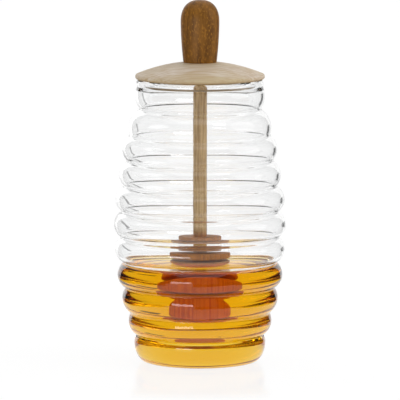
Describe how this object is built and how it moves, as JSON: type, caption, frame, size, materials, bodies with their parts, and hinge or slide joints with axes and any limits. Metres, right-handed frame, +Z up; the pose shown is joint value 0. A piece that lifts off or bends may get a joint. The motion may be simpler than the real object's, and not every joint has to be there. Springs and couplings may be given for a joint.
{
  "type": "glass honey pot",
  "caption": "Ribbed beehive-shaped clear glass jar holding amber honey, with a domed wooden lid, a knob and a grooved wooden dipper standing in the honey.",
  "frame": {"origin": "centre of the jar's foot, on the surface it stands on", "axes": "+Z up along the axis that every turned piece shares; -Y towards the picture's camera"},
  "size_m": [0.0804, 0.0804, 0.17],
  "materials": {
    "clear_glass": "clear, smooth blown glass",
    "amber_honey": "clear amber liquid with a glossy surface",
    "dipper_beech": "turned beech, smooth and unvarnished",
    "pale_beech": "pale turned beech with fine grain",
    "oiled_acacia": "oiled dark acacia with a soft sheen"
  },
  "bodies": {
    "root": {"glass_jar": "clear_glass", "honey": "amber_honey", "dipper": "dipper_beech", "lid": "pale_beech", "knob": "oiled_acacia"}
  },
  "joints": []
}
